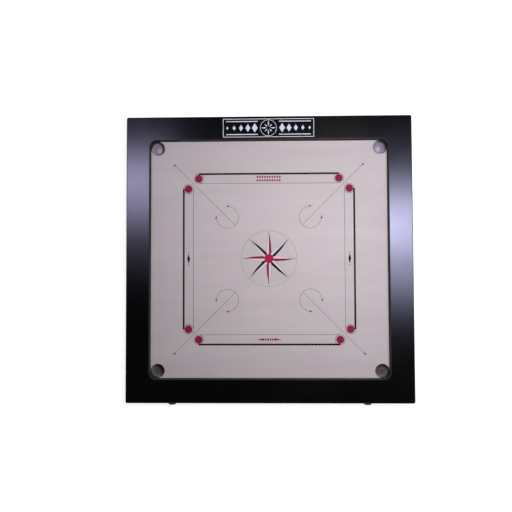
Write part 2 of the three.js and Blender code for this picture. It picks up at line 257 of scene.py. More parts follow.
class Nodes:
    """A short way to write a material's node tree."""

    def __init__(self, name):
        self.material = bpy.data.materials.new(name)
        self.material.use_nodes = True
        self.tree = self.material.node_tree
        self.shader = self.tree.nodes["Principled BSDF"]

    def add(self, kind, **values):
        node = self.tree.nodes.new(kind)
        for key, value in values.items():
            setattr(node, key, value)
        return node

    def link(self, source, target):
        self.tree.links.new(source, target)

    def set(self, **values):
        for key, value in values.items():
            self.shader.inputs[key.replace("_", " ")].default_value = value

    def place(self, scale=(1, 1, 1), source="Object"):
        coordinates = self.add("ShaderNodeTexCoord")
        mapping = self.add("ShaderNodeMapping")
        mapping.inputs["Scale"].default_value = scale
        self.link(coordinates.outputs[source], mapping.inputs["Vector"])
        return mapping.outputs["Vector"]

    def normal_z(self):
        return split_vector(self.tree, self.add("ShaderNodeNewGeometry").outputs["Normal"])["Z"]

    def reach(self):
        """How far out from the board's centre, along X or Y, whichever is more."""
        place = split_vector(self.tree, self.place())
        return self.math("MAXIMUM", *(self.math("ABSOLUTE", place[axis]) for axis in "XY"))

    def noise(self, vector, scale, detail=3.0, roughness=0.5, distortion=0.0):
        node = self.add("ShaderNodeTexNoise")
        node.inputs["Scale"].default_value = scale
        node.inputs["Detail"].default_value = detail
        node.inputs["Roughness"].default_value = roughness
        node.inputs["Distortion"].default_value = distortion
        self.link(vector, node.inputs["Vector"])
        return node.outputs["Fac"]

    def ramp(self, value, stops):
        node = self.add("ShaderNodeValToRGB")
        fill_ramp(node.color_ramp, stops)
        self.link(value, node.inputs["Fac"])
        return node.outputs["Color"]

    def span(self, value, low, high, to_low, to_high):
        node = self.add("ShaderNodeMapRange")
        set_range(node, (low, high, to_low, to_high))
        self.link(value, node.inputs["Value"])
        return node.outputs["Result"]

    def math(self, operation, first, second=0.0):
        node = self.add("ShaderNodeMath", operation=operation)
        for socket, value in zip(node.inputs, (first, second)):
            if isinstance(value, float):
                socket.default_value = value
            else:
                self.link(value, socket)
        return node.outputs["Value"]

    def mix(self, factor, first, second):
        node = self.add("ShaderNodeMix", data_type="RGBA")
        sockets = (node.inputs["Factor"], node.inputs[6], node.inputs[7])
        for socket, value in zip(sockets, (factor, first, second)):
            if isinstance(value, (float, tuple)):
                socket.default_value = value
            else:
                self.link(value, socket)
        return node.outputs[2]

    def bump(self, height, strength, distance, before=None):
        node = self.add("ShaderNodeBump")
        node.inputs["Strength"].default_value = strength
        node.inputs["Distance"].default_value = distance
        self.link(height, node.inputs["Height"])
        if before is not None:
            self.link(before, node.inputs["Normal"])
        return node.outputs["Normal"]

    def wire(self, **sources):
        for key, source in sources.items():
            self.link(source, self.shader.inputs[key.replace("_", " ")])
        return self.material


def grey(value):
    return (value, value, value, 1.0)


def along(axis, fine, coarse):
    """Texture scale for a grain that runs along X or Y."""
    return (coarse, fine, fine) if axis == "X" else (fine, coarse, fine)


# ------------------------ materials


def black_lacquer(axis):
    """Polished on the flat top, satin on the outer sides, dull on the walls inside."""
    n = Nodes(f"black_lacquer_{axis}")
    grain = n.noise(n.place(along(axis, 1.0, 0.04)), 420.0, 4.0, 0.6, 0.3)
    peel = n.noise(n.place(), 260.0, 2.0, 0.4)
    haze = n.noise(n.place(), 7.0, 4.0, 0.55)
    scuff = n.noise(n.place(along(axis, 1.0, 0.12)), 900.0, 5.0, 0.7)
    color = n.ramp(haze, [(0.3, (0.0006, 0.0005, 0.0006, 1)), (0.8, (0.0012, 0.0010, 0.0012, 1))])
    rough = n.math("ADD", n.span(haze, 0.3, 0.7, 0.15, 0.19), n.span(scuff, 0.62, 0.8, 0.0, 0.08))
    side_rough = n.span(n.reach(), *(HALF_PLAY + reach for reach in WALL_LOOK_SPAN), 0.92, 0.55)
    side_rough = n.math("MULTIPLY", side_rough, n.span(n.normal_z(), 0.985, 0.999, 1.0, 0.0))
    rough = n.math("MAXIMUM", rough, side_rough)
    normal = n.bump(grain, 0.10, 0.05 * MM)
    normal = n.bump(peel, 0.12, 0.04 * MM, normal)
    n.set(IOR=1.6)
    return n.wire(Base_Color=color, Roughness=rough, Normal=normal)


def plywood_panel():
    """Lacquered face veneer on top, layered edges in the pocket holes, bare underside."""
    n = Nodes("plywood_panel")
    grain = n.noise(n.place(along("X", 1.0, 0.05)), 330.0, 5.0, 0.62, 0.6)
    figure = n.noise(n.place(along("X", 1.0, 0.18)), 11.0, 4.0, 0.5, 1.2)
    cloud = n.noise(n.place(), 2.6, 3.0, 0.5)
    pores = n.noise(n.place(along("X", 1.0, 0.03)), 1500.0, 2.0, 0.5)
    tone = n.ramp(figure, [(0.25, (0.398, 0.344, 0.332, 1)), (0.75, (0.438, 0.386, 0.372, 1))])
    tone = n.mix(n.span(grain, 0.35, 0.7, 0.0, 0.10), tone, (0.30, 0.25, 0.245, 1))
    tone = n.mix(n.span(cloud, 0.3, 0.7, 0.0, 0.08), tone, (0.47, 0.425, 0.415, 1))
    tone = n.mix(n.span(pores, 0.66, 0.74, 0.0, 0.14), tone, (0.24, 0.19, 0.18, 1))

    height = split_vector(n.tree, n.place())["Z"]
    layers = n.math("PINGPONG", n.math("ADD", height, PLY_LAYER_SHIFT), PLY_LAYER)
    layers = n.span(layers, 0.55 * MM, 1.1 * MM, 0.0, 1.0)
    edge = n.mix(layers, (0.036, 0.030, 0.029, 1), (0.018, 0.014, 0.013, 1))
    edge = n.mix(n.span(grain, 0.4, 0.7, 0.0, 0.35), edge, (0.012, 0.010, 0.010, 1))
    bare = n.mix(n.span(figure, 0.3, 0.7, 0.0, 1.0), (0.46, 0.33, 0.21, 1), (0.34, 0.22, 0.13, 1))
    bare = n.mix(n.span(grain, 0.35, 0.7, 0.0, 0.55), bare, (0.22, 0.13, 0.07, 1))
    bare = n.mix(n.span(pores, 0.60, 0.72, 0.0, 0.5), bare, (0.12, 0.065, 0.035, 1))

    facing = n.normal_z()
    is_top = n.span(facing, 0.45, 0.55, 0.0, 1.0)
    is_bottom = n.span(facing, -0.45, -0.55, 0.0, 1.0)
    color = n.mix(is_top, n.mix(is_bottom, edge, bare), tone)
    rough = n.span(cloud, 0.3, 0.7, 0.50, 0.58)
    rough = n.math("ADD", rough, n.span(facing, 0.45, 0.55, 0.3, 0.0))
    normal = n.bump(grain, 0.10, 0.05 * MM)
    n.set(IOR=1.35)
    return n.wire(Base_Color=color, Roughness=rough, Normal=normal)


def planed_wood(name, axis, light, dark):
    n = Nodes(f"{name}_{axis}")
    rings = n.noise(n.place(along(axis, 1.0, 0.07)), 60.0, 4.0, 0.55, 1.5)
    fibre = n.noise(n.place(along(axis, 1.0, 0.03)), 900.0, 3.0, 0.6)
    stain = n.noise(n.place(), 9.0, 3.0, 0.5)
    color = n.ramp(rings, [(0.30, light), (0.52, light), (0.60, dark), (0.72, light)])
    color = n.mix(n.span(fibre, 0.45, 0.75, 0.0, 0.45), color, dark)
    color = n.mix(n.span(stain, 0.45, 0.8, 0.0, 0.25), color, (0.18, 0.11, 0.06, 1))
    rough = n.span(fibre, 0.3, 0.7, 0.62, 0.82)
    normal = n.bump(fibre, 0.35, 0.12 * MM)
    return n.wire(Base_Color=color, Roughness=rough, Normal=normal)


def plated_metal(name, light, dark, tarnish):
    n = Nodes(name)
    grain = n.noise(n.place(), 900.0, 4.0, 0.6)
    spots = n.noise(n.place(), 260.0, 3.0, 0.6)
    color = n.mix(n.span(grain, 0.35, 0.65, 0.0, 1.0), dark, light)
    color = n.mix(n.span(spots, 0.55, 0.75, 0.0, 0.7), color, tarnish)
    rough = n.span(spots, 0.35, 0.7, 0.26, 0.55)
    normal = n.bump(grain, 0.2, 0.05 * MM)
    n.set(Metallic=1.0)
    return n.wire(Base_Color=color, Roughness=rough, Normal=normal)


def moulded_rubber():
    n = Nodes("moulded_rubber")
    grain = n.noise(n.place(), 1400.0, 3.0, 0.6)
    dust = n.noise(n.place(), 90.0, 4.0, 0.6)
    color = n.mix(n.span(dust, 0.5, 0.8, 0.0, 0.4), (0.008, 0.008, 0.008, 1), (0.035, 0.034, 0.032, 1))
    rough = n.span(dust, 0.3, 0.7, 0.6, 0.85)
    normal = n.bump(grain, 0.4, 0.1 * MM)
    return n.wire(Base_Color=color, Roughness=rough, Normal=normal)


def twisted_cotton(name, light, dark):
    """Net cord: the twist runs slantwise over the tube's own UVs (round, along)."""
    n = Nodes(name)
    twist = n.add("ShaderNodeTexWave", wave_type="BANDS", bands_direction="DIAGONAL")
    twist.inputs["Scale"].default_value = 1.0
    twist.inputs["Distortion"].default_value = 0.6
    n.link(n.place((6.3, 6.3, 1.0), "UV"), twist.inputs["Vector"])
    fuzz = n.noise(n.place(), 2600.0, 3.0, 0.7)
    grime = n.noise(n.place(), 60.0, 3.0, 0.5)
    color = n.mix(twist.outputs["Fac"], dark, light)
    color = n.mix(n.span(grime, 0.45, 0.8, 0.0, 0.5), color, dark)
    rough = n.span(fuzz, 0.3, 0.7, 0.8, 0.95)
    normal = n.bump(twist.outputs["Fac"], 0.8, 0.25 * MM)
    normal = n.bump(fuzz, 0.5, 0.12 * MM, normal)
    n.set(Sheen_Weight=0.25)
    return n.wire(Base_Color=color, Roughness=rough, Normal=normal)


def woven_tape():
    n = Nodes("woven_tape")
    weave = n.add("ShaderNodeTexChecker")
    weave.inputs["Scale"].default_value = 900.0
    n.link(n.place(), weave.inputs["Vector"])
    fuzz = n.noise(n.place(), 1800.0, 3.0, 0.6)
    color = n.mix(n.span(fuzz, 0.3, 0.7, 0.0, 1.0), (0.20, 0.20, 0.22, 1), (0.36, 0.35, 0.38, 1))
    rough = n.span(fuzz, 0.3, 0.7, 0.82, 0.95)
    normal = n.bump(weave.outputs["Fac"], 0.5, 0.15 * MM)
    n.set(Sheen_Weight=0.2)
    return n.wire(Base_Color=color, Roughness=rough, Normal=normal)


def printed_ink(name, color, worn):
    n = Nodes(name)
    mottle = n.noise(n.place(), 700.0, 4.0, 0.65)
    patch = n.noise(n.place(), 22.0, 3.0, 0.5)
    tone = n.mix(n.span(mottle, 0.45, 0.8, 0.0, 0.5), color, worn)
    rough = n.span(patch, 0.3, 0.7, 0.62, 0.75)
    normal = n.bump(mottle, 0.15, 0.03 * MM)
    n.set(IOR=1.2)
    return n.wire(Base_Color=tone, Roughness=rough, Normal=normal)


def studio_floor():
    """A pale glowing table. Under the board and just beside its edges the glow fades out, and under the
    board the colour turns dark grey: painted shade that keeps the pockets dark.
    """
    n = Nodes("studio_floor")
    grain = n.noise(n.place(), 40.0, 2.0, 0.5)
    open_color = n.mix(n.span(grain, 0.3, 0.7, 0.0, 1.0), grey(0.34), grey(0.36))
    reach = n.reach()
    # Painted shade: the glow fades out and the colour darkens under the board.
    glow = n.span(reach, *(HALF_OUTER + edge for edge in FLOOR_GLOW_SPAN), 0.0, FLOOR_GLOW)
    is_open = n.span(reach, *(HALF_OUTER + edge for edge in FLOOR_COLOR_SPAN), 0.0, 1.0)
    color = n.mix(is_open, grey(FLOOR_PAINTED_SHADE), open_color)
    n.set(Roughness=0.9, Specular_IOR_Level=0.2, Emission_Color=grey(1.0))
    return n.wire(Base_Color=color, Emission_Strength=glow)


LACQUER = {axis: black_lacquer(axis) for axis in "XY"}
PLY = plywood_panel()
PINE_LIGHT = (0.52, 0.35, 0.19, 1)
PINE_DARK = (0.33, 0.19, 0.085, 1)
PINE = {axis: planed_wood("planed_pine", axis, PINE_LIGHT, PINE_DARK) for axis in "XY"}
BEECH = planed_wood("beech", "X", (0.50, 0.31, 0.17, 1), (0.34, 0.19, 0.10, 1))
STEEL = plated_metal("zinc_plate", grey(0.62), grey(0.42), (0.30, 0.27, 0.22, 1))
BRASS = plated_metal("dull_brass", (0.62, 0.44, 0.18, 1), (0.42, 0.28, 0.10, 1), (0.16, 0.10, 0.05, 1))
RUBBER = moulded_rubber()
# One net cotton in two copies: the paler one carries painted light for the back nets, the darker one
# carries painted shade for the front nets.
PAINTED_LIT_COTTON = twisted_cotton("painted_lit_cotton", (0.58, 0.50, 0.63, 1), (0.36, 0.31, 0.40, 1))
PAINTED_SHADE_COTTON = twisted_cotton("painted_shade_cotton", (0.100, 0.084, 0.086, 1), (0.043, 0.035, 0.036, 1))
TAPE = woven_tape()

# Each ink with the name of its slot.
BLACK = (printed_ink("ink_black", (0.0060, 0.0028, 0.0036, 1), (0.016, 0.009, 0.011, 1)), "ink_black")
RED = (printed_ink("ink_red", (0.190, 0.007, 0.036, 1), (0.24, 0.020, 0.058, 1)), "ink_red")
CRIMSON = (printed_ink("ink_crimson", (0.305, 0.006, 0.040, 1), (0.34, 0.018, 0.060, 1)), "ink_red")
PALE = (printed_ink("ink_pale", (0.50, 0.455, 0.450, 1), (0.46, 0.41, 0.41, 1)), "ink_white")
WHITE = (printed_ink("ink_white", (0.52, 0.52, 0.58, 1), (0.42, 0.42, 0.47, 1)), "ink_white")


# ------------------------ pieces


def put_in_scene(name, data):
    thing = bpy.data.objects.new(name, data)
    bpy.context.scene.collection.objects.link(thing)
    return thing


def finished_mesh(name, mesh_builder):
    mesh = bpy.data.meshes.new(name)
    mesh_builder.to_mesh(mesh)
    mesh_builder.free()
    return mesh


def solid(name, mesh_builder):
    """Turns a closed bmesh into an object whose faces all look outwards."""
    bmesh.ops.recalc_face_normals(mesh_builder, faces=mesh_builder.faces)
    return put_in_scene(name, finished_mesh(name, mesh_builder))


def piece(name, mesh_builder, material, slot):
    """Turns a bmesh into a finished piece that rides on the board."""
    thing = solid(name, mesh_builder)
    thing.data.materials.append(material)
    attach(thing, "root")
    return thing


def smooth(thing, sharp_degrees=35.0):
    """Smooth shading on round edges that leaves the large flats flat."""
    mesh = thing.data
    for polygon in mesh.polygons:
        polygon.use_smooth = True
    mesh.set_sharp_from_angle(angle=math.radians(sharp_degrees))
    weights = thing.modifiers.new("flat_faces_stay_flat", "WEIGHTED_NORMAL")
    weights.keep_sharp = True
    weights.weight = 100


def cut_away(thing, cutters):
    """Cuts the bmesh tools out of a piece and keeps the result as its mesh."""
    for cutter in cutters:
        tool = solid("tool", cutter)
        tool_mesh = tool.data
        modifier = thing.modifiers.new("cut", "BOOLEAN")
        modifier.operation = "DIFFERENCE"
        modifier.solver = "EXACT"
        modifier.object = tool
        bpy.context.view_layer.update()
        evaluated = thing.evaluated_get(bpy.context.evaluated_depsgraph_get())
        result = bpy.data.meshes.new_from_object(evaluated)
        thing.modifiers.clear()
        thing.data = result
        bpy.data.objects.remove(tool)
        bpy.data.meshes.remove(tool_mesh)


def block(low, high):
    mesh_builder = bmesh.new()
    size = [high[i] - low[i] for i in range(3)]
    middle = [(high[i] + low[i]) / 2 for i in range(3)]
    matrix = Matrix.Translation(middle) @ Matrix.Diagonal((*size, 1))
    bmesh.ops.create_cube(mesh_builder, size=1.0, matrix=matrix)
    return mesh_builder


def bridge(mesh_builder, rings, closed=True):
    """Skins a list of vertex rings; each ring is a closed loop of vertices."""
    count = len(rings[0])
    pairs = list(zip(rings, rings[1:]))
    if closed:
        pairs.append((rings[-1], rings[0]))
    for first, second in pairs:
        for i in range(count):
            j = (i + 1) % count
            mesh_builder.faces.new((first[i], first[j], second[j], second[i]))


def turned(profile, steps, place=Matrix.Identity(4)):
    """A solid of revolution about +Z from a closed (radius, height) profile."""
    mesh_builder = bmesh.new()
    rings = []
    for step in range(steps):
        angle = 2 * math.pi * step / steps
        ring = []
        for radius, height in profile:
            point = Vector((radius * math.cos(angle), radius * math.sin(angle), height))
            ring.append(mesh_builder.verts.new(place @ point))
        rings.append(ring)
    bridge(mesh_builder, rings)
    bmesh.ops.remove_doubles(mesh_builder, verts=mesh_builder.verts, dist=1e-7)
    return mesh_builder


# ------------------------ rails


def rail_outlines():
    """Points along half of the front rail, from its middle to the mitre.

    Each station is (outer point, its inward normal, inner point, its inward normal,
    rebate point), all in plan."""
    s45 = math.sin(math.pi / 4)
    corner = HALF_OUTER - OUTER_CORNER_RADIUS
    stations = []
    for x in (0.0, POCKET_CENTRE):
        stations.append((
            Vector((x, -HALF_OUTER)), Vector((0, 1)),
            Vector((x, -HALF_PLAY)), Vector((0, -1)),
            Vector((x, -HALF_REBATE)),
        ))
    for step in range(1, CORNER_STEPS + 1):
        share = step / CORNER_STEPS
        angle = share * math.pi / 4
        into_wood = Vector((math.sin(angle), -math.cos(angle)))
        pocket = Vector((POCKET_CENTRE, -POCKET_CENTRE))
        inner = pocket + POCKET_RADIUS * into_wood
        if share <= 0.5:
            outer = Vector((POCKET_CENTRE + (corner - POCKET_CENTRE) * 2 * share, -HALF_OUTER))
            outer_normal = Vector((0, 1))
        else:
            turn = (2 * share - 1) * math.pi / 4
            outer_normal = Vector((-math.sin(turn), math.cos(turn)))
            outer = Vector((corner, -corner)) - OUTER_CORNER_RADIUS * outer_normal
        reach = POCKET_CENTRE + (HALF_REBATE - POCKET_CENTRE) * share
        stations.append((outer, outer_normal, inner, into_wood, Vector((reach, -HALF_REBATE))))
    set_back = Vector((MITRE_GAP * s45, 0))
    outer, outer_normal, inner, into_wood, rebate = stations[-1]
    last = (outer - set_back, outer_normal, inner - set_back, into_wood, rebate - set_back)
    stations[-1] = last
    return stations


def rounded_edge(wall, into_wood, flat_z, way):
    """A quarter round from the flat at flat_z to the wall; way 1 goes up and -1 goes down."""
    points = []
    for step in range(ROUND_STEPS + 1):
        angle = math.pi / 2 * step / ROUND_STEPS
        spot = wall + into_wood * EDGE_ROUND * (1 - math.sin(angle))
        points.append((*spot, flat_z + way * EDGE_ROUND * (1 - math.cos(angle))))
    return points


def rail_section(station):
    """The rail's closed cross-section at one station."""
    outer, outer_normal, inner, inner_normal, rebate = station
    points = rounded_edge(outer, outer_normal, 0.0, 1)
    points += reversed(rounded_edge(outer, outer_normal, RAIL_TOP_Z, -1))
    points += rounded_edge(inner, inner_normal, RAIL_TOP_Z, -1)
    points += [(*inner, SURFACE_Z), (*rebate, SURFACE_Z), (*rebate, 0.0)]
    return [Vector(point) for point in points]


def rail_mesh(quarter_turns):
    half = [rail_section(station) for station in rail_outlines()]
    mirrored = [[Vector((-p.x, p.y, p.z)) for p in section] for section in half[:0:-1]]
    turn = Matrix.Rotation(quarter_turns * math.pi / 2, 4, "Z")
    mesh_builder = bmesh.new()
    rings = []
    for section in mirrored + half:
        rings.append([mesh_builder.verts.new(turn @ point) for point in section])
    bridge(mesh_builder, rings, closed=False)
    mesh_builder.faces.new(rings[0])
    mesh_builder.faces.new(rings[-1])
    return mesh_builder


def batten_seat_cutters(side):
    """Seat cutters where the battens enter a rail."""
    names = ("long_batten_left", "long_batten_right")
    if side in ("left", "right"):
        names = ("cross_batten_front", "cross_batten_back")
    cutters = []
    for name in names:
        low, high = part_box(name)
        margin = Vector((FIT_GAP, FIT_GAP, 0))
        low = low - margin
        low.z = -EDGE_ROUND
        cutters.append(block(low, high + margin))
    return cutters


def make_rails():
    for quarter_turns, side in enumerate(SIDES):
        axis = "X" if side in ("front", "back") else "Y"
        rail = piece(f"lacquered_rail_{side}", rail_mesh(quarter_turns), LACQUER[axis], "frame_lacquer")
        cut_away(rail, batten_seat_cutters(side))
        smooth(rail)
        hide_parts(f"rail_{side}")


# ------------------------ panel


def pocket_cutter(x, y):
    """A drill with a small round-over at the playing surface."""
    low_z = PANEL_LOW_Z - DRILL_MARGIN
    high_z = SURFACE_Z + DRILL_MARGIN
    profile = [(0.0, low_z), (POCKET_RADIUS, low_z)]
    for step in range(POCKET_ROUND_STEPS + 1):
        angle = math.pi / 2 * step / POCKET_ROUND_STEPS
        profile.append((
            POCKET_RADIUS + POCKET_ROUND * (1 - math.cos(angle)),
            SURFACE_Z - POCKET_ROUND * (1 - math.sin(angle)),
        ))
    profile += [(POCKET_RADIUS + POCKET_ROUND, high_z), (0.0, high_z)]
    return turned(profile, POCKET_STEPS, Matrix.Translation((x, y, 0)))


def make_panel():
    low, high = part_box("play_panel")
    panel = piece("playing_surface", block(low, high), PLY, "panel_ply")
    cutters = []
    for side_x, side_y in CORNERS.values():
        cutters.append(pocket_cutter(side_x * POCKET_CENTRE, side_y * POCKET_CENTRE))
    cut_away(panel, cutters)
    smooth(panel)
    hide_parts("play_panel")


# ------------------------ ink
#
# Each marking is a list of flat polygons in plan, made into one thin film.


def strip(points, width):
    """A line of even width through the points, mitred where it bends."""
    points = [Vector(point) for point in points]
    directions = [(end - start).normalized() for start, end in zip(points, points[1:])]
    left, right = [], []
    for i, point in enumerate(points):
        before = directions[max(i - 1, 0)]
        after = directions[min(i, len(directions) - 1)]
        middle = (before + after).normalized()
        side = Vector((-middle.y, middle.x)) * width / 2 / middle.dot(after)
        left.append(point + side)
        right.append(point - side)
    return [[right[i], right[i + 1], left[i + 1], left[i]] for i in range(len(directions))]


def bar(start, end, width):
    return strip((start, end), width)


def outline(corners, width):
    """A closed line of even width round convex corners given anticlockwise."""
    inner, count = [], len(corners)
    for i, corner in enumerate(corners):
        before = (Vector(corner) - Vector(corners[i - 1])).normalized()
        after = (Vector(corners[(i + 1) % count]) - Vector(corner)).normalized()
        middle = (before + after).normalized()
        inner.append(Vector(corner) + Vector((-middle.y, middle.x)) * width / middle.dot(after))
    loops = [(Vector(corner), inside) for corner, inside in zip(corners, inner)]
    return [[a, b, d, c] for (a, c), (b, d) in zip(loops, loops[1:] + loops[:1])]


def disc(centre, radius, steps=64):
    points = []
    for step in range(steps):
        angle = 2 * math.pi * step / steps
        points.append(Vector(centre) + radius * Vector((math.cos(angle), math.sin(angle))))
    return [points]


def ring(centre, radius, width, start=0.0, sweep=2 * math.pi, steps=72):
    polygons = []
    for step in range(steps):
        corners = []
        for offset, turn in ((-1, step), (1, step), (1, step + 1), (-1, step + 1)):
            angle = start + sweep * turn / steps
            reach = radius + offset * width / 2
            corners.append(Vector(centre) + reach * Vector((math.cos(angle), math.sin(angle))))
        polygons.append(corners)
    return polygons


def arrow_head(tip, direction, length, width):
    tip, direction = Vector(tip), Vector(direction).normalized()
    side = Vector((-direction.y, direction.x)) * width / 2
    back = tip - direction * length
    notch = tip - direction * length * ARROW_NOTCH_SHARE
    return [[tip, back + side, notch], [tip, notch, back - side]]


def lozenge(centre, half_x, half_y):
    x, y = centre
    return [[
        Vector((x + half_x, y)), Vector((x, y + half_y)),
        Vector((x - half_x, y)), Vector((x, y - half_y)),
    ]]


def turned_plan(polygons, angle):
    turn = Matrix.Rotation(angle, 2)
    return [[turn @ point for point in polygon] for polygon in polygons]


def moved_plan(polygons, x, y):
    shift = Vector((x, y))
    return [[point + shift for point in polygon] for polygon in polygons]


def film(name, polygons, ink, thickness, base_z=SURFACE_Z):
    """A thin closed film over plan polygons; polygons that share edges are joined."""
    mesh_builder = bmesh.new()
    for polygon in polygons:
        corners = [mesh_builder.verts.new((*point, base_z - INK_SINK)) for point in polygon]
        mesh_builder.faces.new(corners)
    bmesh.ops.remove_doubles(mesh_builder, verts=mesh_builder.verts, dist=1e-6)
    flat_faces = list(mesh_builder.faces)
    for face in flat_faces:
        face.normal_update()
        if face.normal.z > 0:
            face.normal_flip()
    extruded = bmesh.ops.extrude_face_region(mesh_builder, geom=flat_faces, use_keep_orig=True)
    raised = [item for item in extruded["geom"] if isinstance(item, bmesh.types.BMVert)]
    bmesh.ops.translate(mesh_builder, verts=raised, vec=(0, 0, thickness + INK_SINK))
    piece(name, mesh_builder, *ink)


def quarter_copies(polygons):
    return [turned_plan(polygons, turns * math.pi / 2) for turns in range(4)]


def make_base_lines():
    outer_y = -(HALF_PLAY - BASE_LINE_FROM_RAIL)
    circle_y = outer_y + BASE_CIRCLE_RADIUS - RING_LINE / 2
    inner_y = circle_y + BASE_CIRCLE_RADIUS
    spread = BASE_CIRCLE_SPREAD
    thick = bar((-spread, outer_y), (spread, outer_y), THICK_LINE)
    thin = bar((-spread, inner_y), (spread, inner_y), THIN_LINE)
    for side, outer, inner in zip(SIDES, quarter_copies(thick), quarter_copies(thin)):
        film(f"base_line_outer_{side}", outer, BLACK, INK_HIGHEST)
        film(f"base_line_inner_{side}", inner, BLACK, INK_MIDDLE)
    for end, end_name in ((-1, "a"), (1, "b")):
        centre = (end * spread, circle_y)
        circles = quarter_copies(ring(centre, BASE_CIRCLE_RADIUS, RING_LINE))
        discs = quarter_copies(disc(centre, BASE_DISC_RADIUS))
        for side, circle, spot in zip(SIDES, circles, discs):
            film(f"base_circle_{side}_{end_name}", circle, BLACK, INK_LOWEST)
            film(f"base_disc_{side}_{end_name}", spot, RED, INK_LOW)


def make_arrows():
    """A line from near the pocket, between the base circles and through the open side of a
    three-quarter arc, to the arc's far side."""
    diagonal = Vector((1, 1)).normalized()
    head = ARROW_HEAD_LENGTH * diagonal
    line_end = Vector((ARROW_TIP, ARROW_TIP)) - head * ARROW_OVERLAP_SHARE
    shape = bar(line_end, (ARROW_TAIL, ARROW_TAIL), ARROW_LINE)
    head_shape = arrow_head((ARROW_TIP, ARROW_TIP), diagonal, ARROW_HEAD_LENGTH, ARROW_HEAD_WIDTH)
    centre = (ARROW_ARC_CENTRE, ARROW_ARC_CENTRE)
    arc = ring(centre, ARROW_ARC_RADIUS, ARROW_LINE, math.pi / 2, 1.5 * math.pi)
    top_end = Vector(centre) + Vector((ARROW_HEAD_LENGTH / 2, ARROW_ARC_RADIUS))
    right_end = Vector(centre) + Vector((ARROW_ARC_RADIUS, ARROW_HEAD_LENGTH / 2))
    heads = arrow_head(top_end, (1, -ARC_HEAD_LEAN), ARROW_HEAD_LENGTH, ARROW_HEAD_WIDTH)
    heads += arrow_head(right_end, (-ARC_HEAD_LEAN, 1), ARROW_HEAD_LENGTH, ARROW_HEAD_WIDTH)
    corner_names = ("back_right", "back_left", "front_left", "front_right")
    parts = zip(corner_names, *(quarter_copies(item) for item in (shape, arc, head_shape + heads)))
    for corner, line, curve, points in parts:
        film(f"arrow_line_{corner}", line, BLACK, INK_LOWEST)
        film(f"arrow_arc_{corner}", curve, BLACK, INK_LOW)
        film(f"arrow_heads_{corner}", points, BLACK, INK_HIGH)


def ray_side(half_side):
    """Valley, shoulder and tip of one side of a ray along +Y; half_side 1 is clockwise."""
    valley_angle = math.pi / STAR_RAYS
    valley = STAR_VALLEY_RADIUS * Vector((half_side * math.sin(valley_angle), math.cos(valley_angle)))
    half_width, distance = STAR_SHOULDER
    return [valley, Vector((half_side * half_width, distance)), Vector((0, STAR_RADIUS))]


def make_star():
    red, black, pale, edges = [], [], [], []
    heart = Vector((0, STAR_HEART_RADIUS))
    for ray in range(STAR_RAYS):
        angle = -ray * 2 * math.pi / STAR_RAYS
        dark = red if ray % 2 == 0 else black
        dark += turned_plan([[heart, *ray_side(1)]], angle)
        pale += turned_plan([[heart, *ray_side(-1)]], angle)
        edges += turned_plan(strip(ray_side(-1), STAR_OUTLINE), angle)
    film("star_red_halves", red, RED, INK_LOWEST)
    film("star_black_halves", black, BLACK, INK_LOWEST)
    film("star_pale_halves", pale, PALE, INK_LOWEST)
    film("star_outlines", edges, BLACK, INK_LOW)
    circle = ring((0, 0), CENTRE_RING_RADIUS, CENTRE_RING_LINE, steps=128)
    film("centre_circle", circle, BLACK, INK_LOW)
    film("centre_disc", disc((0, 0), CENTRE_DISC_RADIUS), CRIMSON, INK_HIGHEST)


def beads(length, height, count):
    """A row of lozenges along X."""
    pitch = length / count
    polygons = []
    for i in range(count):
        x = (i - (count - 1) / 2) * pitch
        polygons += lozenge((x, 0), pitch * BEAD_HALF_SHARE, height / 2)
    return polygons


def beaded_bar(length, height, count):
    """A row of beads between two bars that taper to a point."""
    row = length * FRONT_ROW_SHARE
    polygons = beads(row, height, count)
    start = row / 2 + FRONT_BAR_GAP
    half_height = height * FRONT_BAR_HALF_SHARE
    for side in (-1, 1):
        tip = Vector((side * length / 2, 0))
        up = Vector((side * start, half_height))
        down = Vector((side * start, -half_height))
        polygons.append([tip, up, down])
    return polygons


def spindle(length, width):
    """A slim lozenge along Y with a bead at each tip."""
    polygons = lozenge((0, 0), width / 2, length / 2 - SPINDLE_TIP)
    for side in (-1, 1):
        polygons += lozenge((0, side * (length / 2 - SPINDLE_BEAD_INSET)), *SPINDLE_BEAD_HALF)
    return polygons


def make_base_ornaments():
    middle = HALF_PLAY - BASE_LINE_FROM_RAIL - BASE_CIRCLE_RADIUS
    row = beads(ORNAMENT_LENGTH, BACK_BEAD_HEIGHT, BACK_BEADS)
    back = moved_plan(row, 0, middle + BACK_ROW_OFFSET) + moved_plan(row, 0, middle - BACK_ROW_OFFSET)
    film("ornament_back", back, RED, INK_LOW)
    front = moved_plan(beaded_bar(ORNAMENT_LENGTH, FRONT_BEAD_HEIGHT, FRONT_BEADS), 0, -middle)
    film("ornament_front", front, RED, INK_LOW)
    for side, name in ((-1, "left"), (1, "right")):
        upright = moved_plan(spindle(SPINDLE_LENGTH, SPINDLE_WIDTH), side * middle, 0)
        film(f"ornament_{name}", upright, BLACK, INK_LOW)


def emblem_star():
    """Long and short rays by turns, inside a ring."""
    polygons = ring((0, 0), EMBLEM_RING_RADIUS, EMBLEM_RING_LINE)
    for ray in range(STAR_RAYS):
        reach = EMBLEM_RAY if ray % 2 == 0 else EMBLEM_SHORT_RAY
        middle = (reach + EMBLEM_RAY_START) / 2
        half_length = (reach - EMBLEM_RAY_START) / 2
        shape = lozenge((0, middle), EMBLEM_RAY_HALF_WIDTH, half_length)
        polygons += turned_plan(shape, ray * 2 * math.pi / STAR_RAYS)
    return polygons


